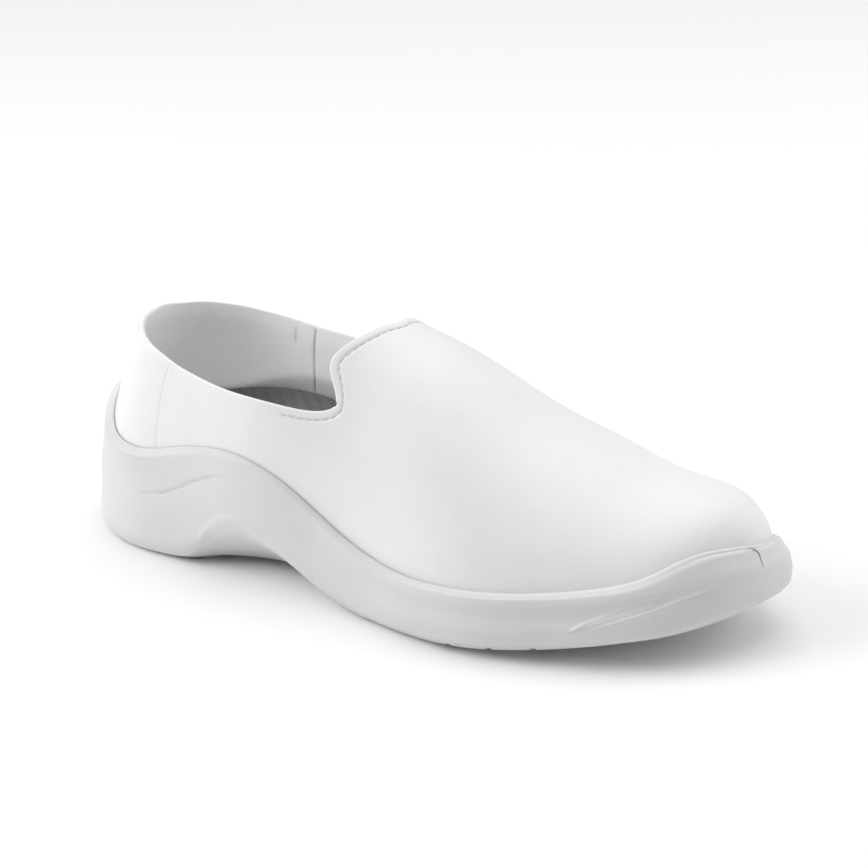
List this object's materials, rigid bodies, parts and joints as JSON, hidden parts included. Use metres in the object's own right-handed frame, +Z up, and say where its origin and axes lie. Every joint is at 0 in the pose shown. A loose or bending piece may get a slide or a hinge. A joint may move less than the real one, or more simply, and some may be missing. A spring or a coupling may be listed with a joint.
{
  "type": "slip-on medical shoe",
  "caption": "White slip-on work shoe with a smooth closed upper, low collar, instep tab, dark footbed and a moulded sole whose edge rises into a heel cup.",
  "frame": {"origin": "on the floor, under the middle of the shoe's bounding box", "axes": "+X along the shoe from heel to toe, +Y towards the medial side, +Z up from the floor"},
  "size_m": [0.2688, 0.1006, 0.0933],
  "materials": {
    "sole_foam": "satin moulded foam",
    "upper_skin": "smooth coated, satin",
    "insole_cloth": "matt"
  },
  "bodies": {
    "root": {"sole": "sole_foam", "upper": "upper_skin", "insole": "insole_cloth"}
  },
  "joints": []
}
